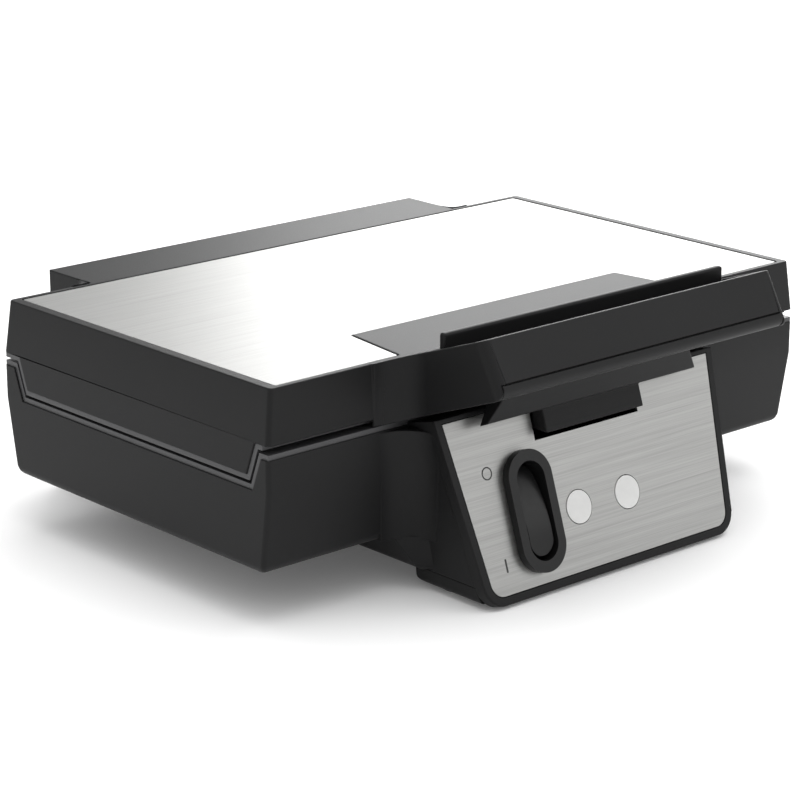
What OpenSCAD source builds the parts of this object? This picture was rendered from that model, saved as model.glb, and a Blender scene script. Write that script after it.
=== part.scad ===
// Two-waffle iron with a sprung handle latch, a sloping control panel and a hinged lid.
// Origin: on the table, under the middle of the overall outline. X right, Y to the back, Z up.

/* [Body] */
// Width of the lid at its top edge
lid_w = 280; // [230:1:340]
// Depth of the lid at its top edge
lid_d = 165; // [150:1:200]
// How much each side wall leans out from the lid's top edge to its rim, in X
flare_x = 2.5; // [1:0.1:4]
// The same lean, in Y
flare_y = 1.3; // [0.5:0.1:3]
// Height of the lid's wall at the front
lid_h = 21.3; // [19:0.1:30]
// Height of the base shell below its front rim
base_h = 45.5; // [44:0.5:60]
// Free height under the base shell
ground_gap = 22; // [20:0.5:30]
// Wall of the moulded shells
wall = 2.4; // [2:0.1:3]
// Thickness of the lid's roof
roof = 2.5; // [2:0.1:3.5]
// Vertical corner radius of the shells
corner_r = 2; // [1:0.5:5]
// How far the base shell's front and back walls draw in towards the bottom
base_taper = 5; // [2:0.5:8]
// Half width of the keel under the base, at its bottom
keel_low = 72; // [60:1:80]
// Half width of the keel where it meets the base
keel_high = 79; // [64:1:84]

/* [Parting line] */
// How far the parting line drops along both ends
end_drop = 13.1; // [10:0.1:14]
// Run of the sloping step in the parting line
step_run = 5; // [4:0.1:7]
// Distance from the front face to the foot of the front step
step_front = 9.3; // [8:0.1:14]
// Distance from the back face to the foot of the back step
step_back = 11.8; // [10:0.1:16]
// Height between the two shells, filled by the plates' rims
seam = 5.2; // [4.8:0.1:6]
// Thickness of each baking plate's rim
rim_t = 2; // [1.6:0.1:2.2]

/* [Top plate] */
// Thickness of the steel sheets
sheet_t = 0.9; // [0.6:0.1:1.2]
// Margin between the steel top plate and the lid's ends
top_margin_x = 4.7; // [4:0.1:8]
// Margin between the steel top plate and the lid's front and back
top_margin_y = 3; // [2.8:0.1:6]
// Gap around the steel top plate
top_gap = 0.5; // [0.3:0.1:0.8]
// Depth of the notch in the front of the steel top plate
notch_d = 35.5; // [20:0.5:38]
// Half width of the notch at its back
notch_w = 72; // [60:0.1:74]

/* [Waffles] */
// Width of one waffle
waffle_w = 118; // [96:1:140]
// Depth of one waffle
waffle_d = 112; // [96:1:120]
// Width of the land between the two waffles
land = 16; // [16:0.5:24]
// Depth of each half mould
pocket = 12; // [10:0.5:13]
// Casting wall round each half mould
cast_t = 2.5; // [2:0.1:3]
// Grooves across one waffle, in X
cells_x = 5; // [3:1:6]
// Grooves across one waffle, in Y
cells_y = 5; // [3:1:6]
// Height of the studs
stud_h = 8.5; // [6:0.5:9]
// Draft of the studs on each side
stud_draft = 2.2; // [1:0.1:3]

/* [Handle] */
// Half width of the handle
handle_w = 78; // [76:0.5:84]
// Wall of the handle
handle_t = 2.2; // [1.8:0.1:2.6]
// Slope of the handle's top, in degrees
handle_slope = 19.3; // [14:0.1:24]
// Slope of the handle's underside, in degrees
under_slope = 20.3; // [15:0.1:24]
// Distance from the lid's top edge to the top of the grip
grip_reach = 41; // [40:0.5:50]
// Height of the grip's front face, down to its seam
grip_face = 13.9; // [12:0.1:20]
// Backward lean of the grip's front face, in degrees
grip_lean = 28.3; // [20:0.1:34]
// Radius along the grip's top edge
grip_r_top = 4.2; // [3.5:0.1:5]
// Radius along the grip's bottom edge
grip_r_low = 4.5; // [3.5:0.1:5]
// Radius of the fillets where the handle leaves the lid
handle_fillet = 14; // [8:0.5:20]

/* [Latch] */
// Distance from the lid's top edge to the back of the thumb fin
fin_back = 18.1; // [16:0.1:19]
// Thickness of the thumb fin
fin_t = 3.2; // [2.6:0.1:4]
// Height of the thumb fin over the lid
fin_top = 12.8; // [10:0.1:15]
// Travel of the latch, in degrees
latch_travel = 7; // [5:0.5:8]
// Radius of the latch pin
latch_pin_r = 2; // [1.6:0.1:2.4]
// Running clearance on pins, measured on the radius
pin_fit = 0.05; // [0.03:0.01:0.08]
// Half width of the latch tongue
tongue_w = 26.4; // [20:0.1:34]

/* [Control panel] */
// Tilt of the panel back from the vertical, in degrees
panel_tilt = 18.2; // [14:0.1:22]
// Distance from the body's front face to the panel's lower edge
panel_reach = 36.7; // [36:0.1:44]
// Half width of the steel fascia at its foot
fascia_low = 64.1; // [60:0.1:68]
// Half width of the steel fascia at its head
fascia_high = 71.9; // [68:0.1:74]
// Radius of the fillets where the control box leaves the base
box_fillet = 15; // [10:0.5:22]
// Height of the steel fascia
fascia_h = 68.6; // [66:0.1:72]
// Width of the moulded border round the fascia
border = 3.6; // [3:0.1:5]
// Length of the oval switch collar
switch_l = 47.6; // [44:0.1:50]
// Width of the oval switch collar
switch_w = 22.4; // [21:0.1:24]
// Distance of the switch from the centre line
switch_x = 37.3; // [34:0.1:40]
// Height of the switch's centre on the panel
switch_u = 28; // [26:0.1:30]
// Tilt of the rocker either way, in degrees
rocker_tilt = 9; // [6:0.5:10]
// Diameter of the pilot lights
lens_d = 13; // [9:0.1:15]
// Distance between the pilot lights
lens_pitch = 26.6; // [22:0.1:28]
// Height of the pilot lights on the panel
lens_u = 24.3; // [20:0.1:30]

/* [Hinge and feet] */
// Distance from the body's back face to the hinge axis
hinge_reach = 14.7; // [14.2:0.1:18]
// Radius of the lid's hinge barrel
barrel_r = 13; // [11:0.1:13.4]
// Half width of the hinge block
block_w = 100.3; // [90:0.1:112]
// Radius of the hinge pins
hinge_pin_r = 3; // [2:0.1:4]
// Height of the rubber feet
foot_h = 2.5; // [2:0.1:5]
// Radius of the rubber feet
foot_r = 7; // [5:0.5:9]
// Bore of the cord inlet
cord_d = 8; // [6:0.1:9]

/* [Hidden] */
$fn = 48;
black = [0.14, 0.14, 0.14];
steel = [0.78, 0.78, 0.76];
cast = [0.22, 0.22, 0.23];
zinc = [0.66, 0.67, 0.68];
gap = 0.3;

body_w = lid_w + 2 * flare_x;
body_d = lid_d + 2 * flare_y;
z_base = ground_gap;
z_rim = z_base + base_h;
z_lid = z_rim + seam;
z_top = z_lid + lid_h;
z_low = z_rim - end_drop;
z_part = z_low + seam / 2;
front = -body_d / 2;
back = body_d / 2;
lid_front = -lid_d / 2;
part_gap = seam / 2 - rim_t;
step_shift = tan(atan2(end_drop, step_run) / 2);

pocket_floor = cast_t + pocket;
screw_y = waffle_d / 2 - 10;
boss_h = pocket_floor - 1;
screw_l = boss_h + 9;
boss_r = 5.5;
screw_r = 1.6;
head_r = 3.2;
head_h = 2;
post_r = 5;
element_r = 3.3;
element_z = pocket_floor + element_r + 0.2;
element_bend = waffle_d / 2 - 19;
pan_z = element_z + element_r + 1.5;

grip_top = [lid_front - grip_reach, z_top + grip_reach * tan(handle_slope)];
top_centre = grip_top - grip_r_top * [sin(handle_slope), cos(handle_slope)];
face_normal = [-cos(grip_lean), sin(grip_lean)];
face_down = [-sin(grip_lean), -cos(grip_lean)];
grip_seam = top_centre + grip_r_top * face_normal + grip_face * face_down;
low_centre = grip_seam - grip_r_low * face_normal;
low_end = low_centre - grip_r_low * [sin(under_slope), cos(under_slope)];
handle_start = front + 1.5;

fin_y = lid_front - fin_back;
hub_r = 4.4;
pivot_drop = 8;
pivot = [fin_y - hub_r, z_top - pivot_drop];
well_front = top_centre[0] + 4.5;
well_floor = z_top + 0.5;
well_t = 1.8;
fin_room = (fin_top + pivot_drop) * sin(latch_travel) + 0.6;
cover_back = fin_y - 11.5;
lever_w = handle_w - handle_t - 0.6;

panel_y = front - panel_reach;
panel_z = foot_h + 2.6;
panel_h = fascia_h + 1.9;
border_low = fascia_low + border;
border_high = fascia_high + border;
box_top = panel_z + panel_h * cos(panel_tilt);
cover_split = foot_h + 6.5;
keel_z = cover_split + 0.2;
cover_end = front + 4;
face_t = 2.8;
lens_x = 0.3;
rocker_l = switch_l - 11.6;
rocker_w = switch_w - 9.6;
rocker_depth = 2;
collar_hole = [switch_w - 8, switch_l - 9];
neck = [switch_w - 3.4, switch_l - 4.4];
neck_depth = 9.6;
body_depth = 24;
board_depth = 18;
cover_boss_r = 3.6;
grip_screw_x = 58;
front_foot_x = 38;
notch_lean = 4.6;
lead_r = 1.3;
lead_pitch = 9;
slot_low = 53.6;
slot_high = 67.4;
slot_w = tongue_w + 1.7;
far = 600;

hinge_y = back + hinge_reach;
hinge_z = z_rim - 1.5;
block_y = hinge_y + barrel_r;
ledge_z = hinge_z - barrel_r - 2.6;
knuckle_x = 74;
knuckle_t = 8;
knuckle_r = 8.5;
lug_in = knuckle_x - knuckle_t / 2 - 10;
lug_out = knuckle_x + knuckle_t / 2 + 9;
slot_r = norm([knuckle_r, hinge_z - ledge_z]) + 0.5;
lid_lead_z = z_top - roof - sheet_t - 3;
leg_w = 36;
gland_x = -46;
gland_out = 9.4;
gland_z = ledge_z - 16;
tongue_low = panel_z + slot_low * cos(panel_tilt) + 3.6;
tongue_out = 5.7;
mid_y = -(low_centre[0] - grip_r_low + block_y + gland_out) / 2;
tongue_back = panel_face(panel_z + slot_high * cos(panel_tilt)) - 0.45;

function arc(c, r, from, to, n = 8) =
    [for (i = [0:n]) c + r * [cos(from + (to - from) * i / n), sin(from + (to - from) * i / n)]];

function turned(list) = [for (i = [len(list) - 1:-1:0]) list[i]];

// The parting line in (y, z), raised by o along its own normal
function seam_line(o) = [
    [front - 20, z_rim + o],
    [front + step_front - step_run + o * step_shift, z_rim + o],
    [front + step_front + o * step_shift, z_low + o],
    [back - step_back - o * step_shift, z_low + o],
    [back - step_back + step_run - o * step_shift, z_rim + o],
    [back + 20, z_rim + o]];

// Height of the handle's underside at y
function under_z(y) = low_end[1] - (y - low_end[0]) * tan(under_slope);

// Height of the handle's top at y
function over_z(y) = z_top + (lid_front - y) * tan(handle_slope);

// The panel's outer face at height z
function panel_face(z) = panel_y + (z - panel_z) * tan(panel_tilt);

// Outline of the handle in (y, z), inset by t
function handle_outline(t) = concat(
    [[handle_start, over_z(handle_start) - t / cos(handle_slope)]],
    arc(top_centre, grip_r_top - t, 90 - handle_slope, 180 - grip_lean),
    arc(low_centre, grip_r_low - t, 180 - grip_lean, 270 - under_slope),
    [[handle_start, under_z(handle_start) + t / cos(under_slope)]]);

// A (y, z) outline drawn out along X
module along_x(w) {
    rotate([90, 0, 90])
        linear_extrude(w, center = true) children();
}

// An (x, z) outline drawn out along Y
module along_y(d) {
    rotate([90, 0, 0])
        linear_extrude(d, center = true) children();
}

module both_sides() {
    children();
    mirror([1, 0, 0]) children();
}

module rod_x(r, x0, x1) {
    translate([x0, 0, 0]) rotate([0, 90, 0]) cylinder(r = r, h = x1 - x0);
}

module box(lo, hi) {
    translate(lo) cube(hi - lo);
}

module rounded_rect(w, d, r) {
    square([w - 2 * r, d], center = true);
    square([w, d - 2 * r], center = true);
    for (x = [-1, 1], y = [-1, 1])
        translate([x * (w / 2 - r), y * (d / 2 - r)]) circle(r);
}

// An upright oval, w wide and l tall
module oval(w, l) {
    square([w, l - w], center = true);
    for (y = [-1, 1]) translate([0, y * (l - w) / 2]) circle(w / 2);
}

module above_seam(o) {
    polygon(concat(seam_line(o), [[back + 20, z_top + 90], [front - 20, z_top + 90]]));
}

module below_seam(o) {
    polygon(concat(seam_line(o), [[back + 20, -40], [front - 20, -40]]));
}

module on_panel() {
    translate([0, panel_y, panel_z]) rotate([90 - panel_tilt, 0, 0]) children();
}

// Puts the middle of the overall outline over the origin
module placed() {
    translate([0, mid_y, 0]) children();
}

module on_hinge() {
    translate([0, hinge_y, hinge_z]) children();
}

// ---------------------------------------------------------------- lid shell

module lid_body(t, top) {
    intersection() {
        along_x(body_w + 10) polygon([
            [lid_front + t, top], [front + t, z_lid], [front + t, z_low - 10],
            [back - t, z_low - 10], [back - t, z_lid], [-lid_front - t, top]]);
        along_y(body_d + 10) polygon([
            [-lid_w / 2 + t, top], [-body_w / 2 + t, z_lid], [-body_w / 2 + t, z_low - 10],
            [body_w / 2 - t, z_low - 10], [body_w / 2 - t, z_lid], [lid_w / 2 - t, top]]);
        translate([0, 0, z_low - 9]) linear_extrude(top - z_low + 30)
            rounded_rect(body_w - 2 * t, body_d - 2 * t, max(corner_r - t, 0.6));
    }
}

module top_outline(g) {
    x = lid_w / 2 - top_margin_x + g;
    y0 = lid_front + top_margin_y - g;
    y1 = -lid_front - top_margin_y + g;
    nb = notch_w - g;
    nf = nb + notch_lean;
    yb = lid_front + notch_d - g;
    polygon([[-x, y0], [-nf, y0], [-nb, yb], [nb, yb], [nf, y0], [x, y0], [x, y1], [-x, y1]]);
}

module handle_plan() {
    tip = grip_seam[0] - 6;
    difference() {
        union() {
            translate([-handle_w, tip + 6.5]) square([2 * handle_w, handle_start - tip - 6.5]);
            translate([-handle_w + 6, tip - 4]) square([2 * handle_w - 12, 20]);
            for (x = [-1, 1]) translate([x * (handle_w - 6), tip + 10.5]) circle(6);
            translate([-handle_w - handle_fillet, front - handle_fillet])
                square([2 * (handle_w + handle_fillet), handle_fillet + 1]);
        }
        for (x = [-1, 1])
            translate([x * (handle_w + handle_fillet), front - handle_fillet]) circle(handle_fillet);
    }
}

// The moulded section of the handle between its two end walls
module handle_section() {
    difference() {
        polygon(handle_outline(0));
        polygon(handle_outline(handle_t));
        translate([well_front, over_z(well_front) - 12])
            square([fin_y + fin_room - well_front, 24]);
        polygon([
            [handle_start + 1, 0], [handle_start + 1, under_z(handle_start) + handle_t + 1],
            [low_centre[0], under_z(low_centre[0]) + handle_t + 1],
            [low_centre[0], grip_seam[1]], [grip_seam[0] - 20, grip_seam[1]], [grip_seam[0] - 20, 0]]);
    }
    translate([well_front - well_t, well_floor - well_t])
        square([well_t, over_z(well_front) - well_floor + well_t - 0.4]);
    translate([well_front - well_t, well_floor - well_t])
        square([fin_y - fin_t - 1.5 - well_front + well_t, well_t]);
}

module handle_shell() {
    inside = handle_w - handle_t;
    intersection() {
        union() {
            difference() {
                along_x(2 * (handle_w + handle_fillet)) polygon(handle_outline(0));
                along_x(2 * inside) polygon([
                    [handle_start - 1.2, 0], [handle_start - 1.2, z_top + 60],
                    [grip_seam[0] - 30, z_top + 60], [grip_seam[0] - 30, 0]]);
            }
            along_x(2 * inside + 0.02) handle_section();
        }
        translate([0, 0, z_rim + rim_t + 0.4]) linear_extrude(120) handle_plan();
    }
}

module at_grip_screws() {
    y = low_centre[0] + 8.5;
    for (x = [-grip_screw_x, grip_screw_x])
        translate([x, y, under_z(y)]) rotate([-under_slope, 0, 0]) children();
}

module lid_block_outline(t) {
    r = barrel_r - t;
    polygon(concat(
        [[back - 4, z_top - (t > 0 ? roof : 0)]],
        arc([block_y - 3, z_top - 3 - (t > 0 ? roof - t : 0)], 3 - min(t, 2.2), 90, 0, 6),
        arc([hinge_y, hinge_z], r, 0, -180, 24),
        [[hinge_y - r, z_lid + (t > 0 ? 2 : 0)], [back - 4, z_lid + (t > 0 ? 2 : 0)]]));
}

module lid_housing() {
    color(black) difference() {
        union() {
            difference() {
                intersection() {
                    lid_body(0, z_top);
                    along_x(body_w + 20) above_seam(seam);
                }
                lid_body(wall, z_top - roof - sheet_t - 0.2);
            }
            difference() {
                along_x(2 * block_w) lid_block_outline(0);
                for (span = [[-block_w + wall, -lug_out], [-lug_in, lug_in], [lug_out, block_w - wall]])
                    translate([(span[0] + span[1]) / 2, 0, 0])
                        along_x(span[1] - span[0]) lid_block_outline(wall);
            }
            handle_shell();
            at_grip_screws() translate([0, 0, handle_t + 0.1]) cylinder(r = 3.4, h = 8);
            for (y = [-1, 1])
                translate([0, y * screw_y, z_part + part_gap + boss_h])
                    cylinder(r = post_r, h = z_top - roof - z_part - part_gap - boss_h);
        }
        translate([0, 0, z_top - sheet_t - 0.25]) linear_extrude(5) top_outline(top_gap);
        // room for the base's knuckles
        for (x = [-1, 1]) on_hinge()
            rod_x(slot_r, x * knuckle_x - knuckle_t / 2 - 0.6, x * knuckle_x + knuckle_t / 2 + 0.6);
        both_sides() on_hinge() rod_x(hinge_pin_r + pin_fit, lug_in + 0.5, lug_out - 0.5);
        // seats for the latch pin
        translate([0, pivot[0], pivot[1]])
            rod_x(latch_pin_r + pin_fit, -handle_w + 0.9, handle_w - 0.9);
        at_grip_screws() cylinder(r = screw_r, h = 9.5);
        for (y = [-1, 1])
            translate([0, y * screw_y, z_part]) cylinder(r = screw_r, h = screw_l + 1);
        // way for the leads into the hinge block
        box([4, back - 8, lid_lead_z - 3], [28, back + 1, lid_lead_z + 2.5]);
    }
}

module lid_top_plate() {
    color(steel) translate([0, 0, z_top - sheet_t - 0.2]) linear_extrude(sheet_t) top_outline(0);
}

// ------------------------------------------------------------ baking plates

// Saw profile of the studs: n grooves over a length l, as (place, height)
module stud_teeth(l, n) {
    pitch = l / n;
    top = pitch / 2 - 2 * stud_draft;
    for (i = [0:n - 1])
        translate([-l / 2 + (i + 0.5) * pitch, 0]) polygon([
            [-top / 2 - stud_draft, -1], [-top / 2, stud_h], [top / 2, stud_h], [top / 2 + stud_draft, -1]]);
}

// One half mould, opening upwards from the land at z = -part_gap
module half_moulds() {
    for (side = [-1, 1])
        translate([side * (land + waffle_w) / 2, 0, -part_gap - pocket])
            intersection() {
                along_x(waffle_w) stud_teeth(waffle_d, cells_y);
                along_y(waffle_d) stud_teeth(waffle_w, cells_x);
            }
    difference() {
        union() {
            for (side = [-1, 1])
                translate([side * (land + waffle_w) / 2, 0, -part_gap - pocket_floor + pocket_floor / 2 - 0.2])
                    cube([waffle_w + 2 * cast_t, waffle_d + 2 * cast_t, pocket_floor - 0.4], center = true);
            for (y = [-1, 1])
                translate([0, y * screw_y, -part_gap - boss_h]) cylinder(r = boss_r, h = boss_h - 0.5);
        }
        mould_space();
    }
}

module mould_space() {
    for (side = [-1, 1])
        translate([side * (land + waffle_w) / 2, 0, -part_gap - pocket]) {
            intersection() {
                along_x(waffle_w + 1) polygon([
                    [-waffle_d / 2 + 2, 0], [-waffle_d / 2, pocket], [-waffle_d / 2, pocket + 9],
                    [waffle_d / 2, pocket + 9], [waffle_d / 2, pocket], [waffle_d / 2 - 2, 0]]);
                along_y(waffle_d + 1) polygon([
                    [-waffle_w / 2 + 2, 0], [-waffle_w / 2, pocket], [-waffle_w / 2, pocket + 9],
                    [waffle_w / 2, pocket + 9], [waffle_w / 2, pocket], [waffle_w / 2 - 2, 0]]);
            }
        }
}

module plate_screw_holes() {
    for (y = [-1, 1]) translate([0, y * screw_y, -part_gap - 40]) {
        cylinder(r = screw_r, h = 40);
        translate([0, 0, 40 - head_h]) cylinder(r = head_r, h = head_h + 1);
    }
}

module plate_rim(o0, o1, y0, y1) {
    intersection() {
        along_x(body_w - 1.2) polygon(concat(seam_line(o0), turned(seam_line(o1))));
        box([-body_w, y0, 0], [body_w, y1, z_top]);
    }
}

module lower_grid_plate() {
    color(cast) difference() {
        union() {
            difference() {
                plate_rim(0, rim_t, front + 0.6, back - 0.6);
                translate([0, 0, z_part]) mould_space();
            }
            translate([0, 0, z_part]) half_moulds();
        }
        translate([0, 0, z_part]) plate_screw_holes();
    }
}

module upper_grid_plate() {
    color(cast) difference() {
        union() {
            difference() {
                plate_rim(seam - rim_t, seam, front + 4, back - 0.6);
                translate([0, 0, z_part]) mirror([0, 0, 1]) mould_space();
            }
            translate([0, 0, z_part]) mirror([0, 0, 1]) half_moulds();
        }
        translate([0, 0, z_part]) mirror([0, 0, 1]) plate_screw_holes();
    }
}

module plate_screws() {
    for (y = [-1, 1]) translate([0, y * screw_y, -part_gap]) {
        translate([0, 0, -head_h]) cylinder(r = head_r - 0.1, h = head_h - 0.1);
        translate([0, 0, -screw_l]) cylinder(r = screw_r - 0.1, h = screw_l - head_h + 0.5);
    }
}

module lower_plate_screws() {
    color(zinc) translate([0, 0, z_part]) plate_screws();
}

module upper_plate_screws() {
    color(zinc) translate([0, 0, z_part]) mirror([0, 0, 1]) plate_screws();
}

// A U-shaped tube with one bend at +X and two cold ends at -X
module element() {
    run = land / 2 + waffle_w - element_bend - 12;
    translate([0, 0, -part_gap - element_z]) {
        for (y = [-1, 1]) {
            translate([0, y * element_bend, 0]) rod_x(element_r, -run, run);
            translate([0, y * element_bend, 0]) rod_x(element_r - 1.2, -run - 9, -run);
        }
        translate([run, 0, 0]) rotate([0, 0, -90])
            rotate_extrude(angle = 180) translate([element_bend, 0]) circle(element_r);
    }
}

module lower_heating_element() {
    color([0.32, 0.31, 0.3]) translate([0, 0, z_part]) element();
}

module upper_heating_element() {
    color([0.32, 0.31, 0.3]) translate([0, 0, z_part]) mirror([0, 0, 1]) element();
}

// Shallow tray behind each element, with holes for the posts
module reflector() {
    w = land + 2 * waffle_w + 2 * cast_t + 2;
    d = waffle_d + 2 * cast_t + 2;
    translate([0, 0, -part_gap - pan_z - 0.6]) difference() {
        translate([0, 0, 2.5]) cube([w, d, 5], center = true);
        translate([0, 0, 3.1]) cube([w - 1.2, d - 1.2, 5], center = true);
        for (y = [-1, 1]) translate([0, y * screw_y, -1]) cylinder(r = post_r + 1, h = 4);
    }
}

module lower_reflector() {
    color(zinc) translate([0, 0, z_part]) reflector();
}

module upper_reflector() {
    color(zinc) translate([0, 0, z_part]) mirror([0, 0, 1]) reflector();
}

module thermostat() {
    color([0.7, 0.68, 0.62]) translate([land / 2 + waffle_w / 2, 0, z_part - part_gap - pocket_floor]) {
        translate([0, 0, -3]) cylinder(r = 8, h = 3);
        translate([0, 0, -7]) cylinder(r = 6, h = 4);
    }
}

module thermal_fuse() {
    color([0.8, 0.78, 0.7]) translate([-land / 2 - waffle_w / 2, 0, z_part - part_gap - pocket_floor - 2.6]) {
        rod_x(2.5, -9, 9);
        rod_x(0.6, -20, 20);
    }
}

// --------------------------------------------------------------- base shell

module base_body(t, bottom) {
    y_low = base_taper * (z_low - bottom) / (z_low - z_base);
    intersection() {
        along_x(body_w + 10) polygon([
            [front + t, z_rim + 1], [front + t, z_low], [front + t + y_low, bottom],
            [back - t - y_low, bottom], [back - t, z_low], [back - t, z_rim + 1]]);
        along_y(body_d + 10) polygon([
            [-body_w / 2 + t, z_rim + 1], [-body_w / 2 + t, z_low], [-body_w / 2 + t + 0.6, bottom],
            [body_w / 2 - t - 0.6, bottom], [body_w / 2 - t, z_low], [body_w / 2 - t, z_rim + 1]]);
        translate([0, 0, bottom - 1]) linear_extrude(z_rim - bottom + 5)
            rounded_rect(body_w - 2 * t, body_d - 2 * t, max(corner_r - t, 0.6));
    }
}

// Side view of the control box, t inside its faces, down to height z0
module box_side(t, z0, y1) {
    polygon([
        [cover_end - t, z0], [panel_face(z0) + t / cos(panel_tilt), z0],
        [panel_face(box_top - t) + t / cos(panel_tilt), box_top - t],
        [y1, box_top - t - (y1 - panel_face(box_top)) * tan(panel_tilt) * 0.75],
        [y1, z_base + 0.5 + t]]);
}

// Front view of the control box
module box_front(t) {
    lean = (border_high - border_low) / (box_top - panel_z);
    polygon([
        [-border_low + t, 0], [border_low - t, 0],
        [border_high - t + 4 * lean, box_top + 4], [-border_high + t - 4 * lean, box_top + 4]]);
}

module box_solid(t, z0, y1) {
    intersection() {
        along_x(2 * border_high + 20) box_side(t, z0, y1);
        along_y(far) box_front(t);
    }
}

// Channel under the middle of the base, from the control box to the rear block
module keel(t) {
    z0 = keel_z + t;
    wide = keel_high + 1 - t;
    intersection() {
        along_y(far) polygon([
            [-keel_low + t, z0], [keel_low - t, z0],
            [keel_high - t, z_base + 1 + t], [-keel_high + t, z_base + 1 + t]]);
        translate([0, 0, z0 - 1]) linear_extrude(z_base) polygon([
            [-border_low + t, front - 8 + t], [border_low - t, front - 8 + t], [wide, front + 6 + t],
            [wide, back + 2 - t], [-wide, back + 2 - t], [-wide, front + 6 + t]]);
    }
}

// Plan of the hollow fillets where the control box leaves the base
module box_fillets() {
    r = box_fillet;
    intersection() {
        along_x(2 * border_high + 80) box_side(0.4, z_base, front + 3);
        translate([0, 0, z_base + 1]) linear_extrude(z_rim - z_base - 1) difference() {
            translate([-border_high - r + 2, front - r]) square([2 * (border_high + r - 2), r + 1]);
            for (x = [-1, 1]) translate([x * (border_high + r - 2), front - r]) circle(r);
            translate([-border_low + 5, front - 60]) square([2 * border_low - 10, 80]);
        }
    }
}

// The fascia's outline grown by g, with its two lower corners rounded
module panel_outline(g) {
    r = 6 + g;
    lean = (fascia_high - fascia_low) / (fascia_h + 2 * g);
    centre = [fascia_low + g - r * (norm([1, lean]) - lean), r - g];
    corner = arc(centre, r, -90, -atan(lean));
    polygon(concat(corner, [[fascia_high + g, fascia_h + g], [-fascia_high - g, fascia_h + g]],
        [for (q = turned(corner)) [-q[0], q[1]]]));
}

module panel_holes(g) {
    translate([-switch_x, switch_u]) oval(neck[0] + 2 * g, neck[1] + 2 * g);
    for (x = [-1, 1]) translate([lens_x + x * lens_pitch / 2, lens_u]) circle(lens_d / 2 + g);
    translate([-slot_w, slot_low]) square([2 * slot_w, slot_high - slot_low]);
}

module rear_block(t) {
    box([-block_w + t, back - 6, z_base + t], [block_w - t, block_y - t, ledge_z - t]);
    both_sides()
        box([block_w - leg_w + t, back + 1 + t, foot_h + t], [block_w - t, block_y - t, z_base + t + 1]);
}

module base_housing() {
    color(black) difference() {
        union() {
            difference() {
                union() {
                    intersection() {
                        base_body(0, z_base);
                        along_x(body_w + 20) below_seam(0);
                    }
                    box_solid(0, cover_split, front + base_taper + 3);
                    intersection() {
                        box_solid(0, foot_h + 0.2, front);
                        on_panel() translate([0, 0, -face_t - 1.9]) linear_extrude(20)
                            panel_outline(border);
                    }
                    box_fillets();
                    keel(0);
                    rear_block(0);
                }
                base_body(wall, z_base + wall);
                intersection() {
                    box_solid(wall + 0.2, cover_split - 1, front + base_taper + 6);
                    on_panel() translate([-150, -60, -200 - face_t]) cube([300, 200, 200]);
                }
                rear_block(wall);
                keel(wall);
            }
            // knuckles that carry the lid
            for (x = [-1, 1]) on_hinge() {
                rod_x(knuckle_r, x * knuckle_x - knuckle_t / 2, x * knuckle_x + knuckle_t / 2);
                translate([x * knuckle_x - knuckle_t / 2, -knuckle_r, ledge_z - hinge_z - 1])
                    cube([knuckle_t, 2 * knuckle_r, hinge_z - ledge_z + 1]);
            }
            for (y = [-1, 1])
                translate([0, y * screw_y, keel_z + 1])
                    cylinder(r = post_r, h = z_part - part_gap - boss_h - keel_z - 1);
            on_panel() translate([lens_x, lens_u, -board_depth]) cylinder(r = 2.4, h = board_depth - face_t + 0.5);
            intersection() {
                at_cover_screws() translate([0, 0, cover_split - foot_h + 0.1]) cylinder(r = cover_boss_r, h = 18);
                box_solid(1, cover_split, front + 8);
            }
        }
        // seat of the steel fascia
        on_panel() translate([0, 0, -sheet_t - 0.1]) linear_extrude(20) panel_outline(gap);
        on_panel() translate([0, 0, -10]) linear_extrude(30) panel_holes(gap);
        for (x = [-1, 1]) on_hinge()
            rod_x(hinge_pin_r + pin_fit, x * knuckle_x - 20, x * knuckle_x + 20);
        for (y = [-1, 1])
            translate([0, y * screw_y, z_part - screw_l - 1]) cylinder(r = screw_r, h = 30);
        translate([gland_x, block_y + 1, gland_z]) rotate([90, 0, 0]) cylinder(r = 9.2, h = wall + 4);
        at_cover_screws() cylinder(r = screw_r, h = 12);
        // nothing stands over the seam behind the front wall
        along_x(body_w + 20) intersection() {
            above_seam(0);
            translate([front - 0.2, 0]) square([body_d, z_top]);
        }
        // way for the leads into the rear block
        box([gland_x + 26, back - 12, z_base + wall], [gland_x + 44, back + 1, z_base + wall + 7]);
    }
}

// Screws that hold the bottom cover, standing on the table plane's foot height
module at_cover_screws() {
    for (x = [-1, 1])
        translate([x * (border_low - 5.2), front - 12, foot_h]) children();
}

module bottom_cover() {
    edge = (face_t + 1.9) / cos(panel_tilt) + 0.4;
    color(black) difference() {
        union() {
            difference() {
                intersection() {
                    along_x(2 * border_high) polygon(concat(
                        [[cover_end, cover_split - 0.2], [panel_face(cover_split) + edge, cover_split - 0.2]],
                        [[panel_face(foot_h) + edge, foot_h]],
                        arc([cover_end - 4, foot_h + 4], 4, -90, 0, 6)));
                    along_y(far) box_front(0.2);
                }
                intersection() {
                    along_x(2 * border_high) polygon([
                        [cover_end - 2, cover_split + 1], [panel_face(cover_split) + edge + 2, cover_split + 1],
                        [panel_face(foot_h) + edge + 2, foot_h + 2], [cover_end - 3, foot_h + 2]]);
                    along_y(far) box_front(2.2);
                }
            }
            at_cover_screws() cylinder(r = cover_boss_r, h = cover_split - foot_h - 0.1);
        }
        at_cover_screws() {
            cylinder(r = screw_r, h = 12);
            translate([0, 0, -1]) cylinder(r = head_r, h = head_h + 1.4);
        }
    }
}

module cover_screws() {
    color(zinc) at_cover_screws() {
        translate([0, 0, 0.3]) cylinder(r = head_r - 0.2, h = head_h);
        translate([0, 0, 0.3 + head_h]) cylinder(r = screw_r - 0.1, h = 9);
    }
}

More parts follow.
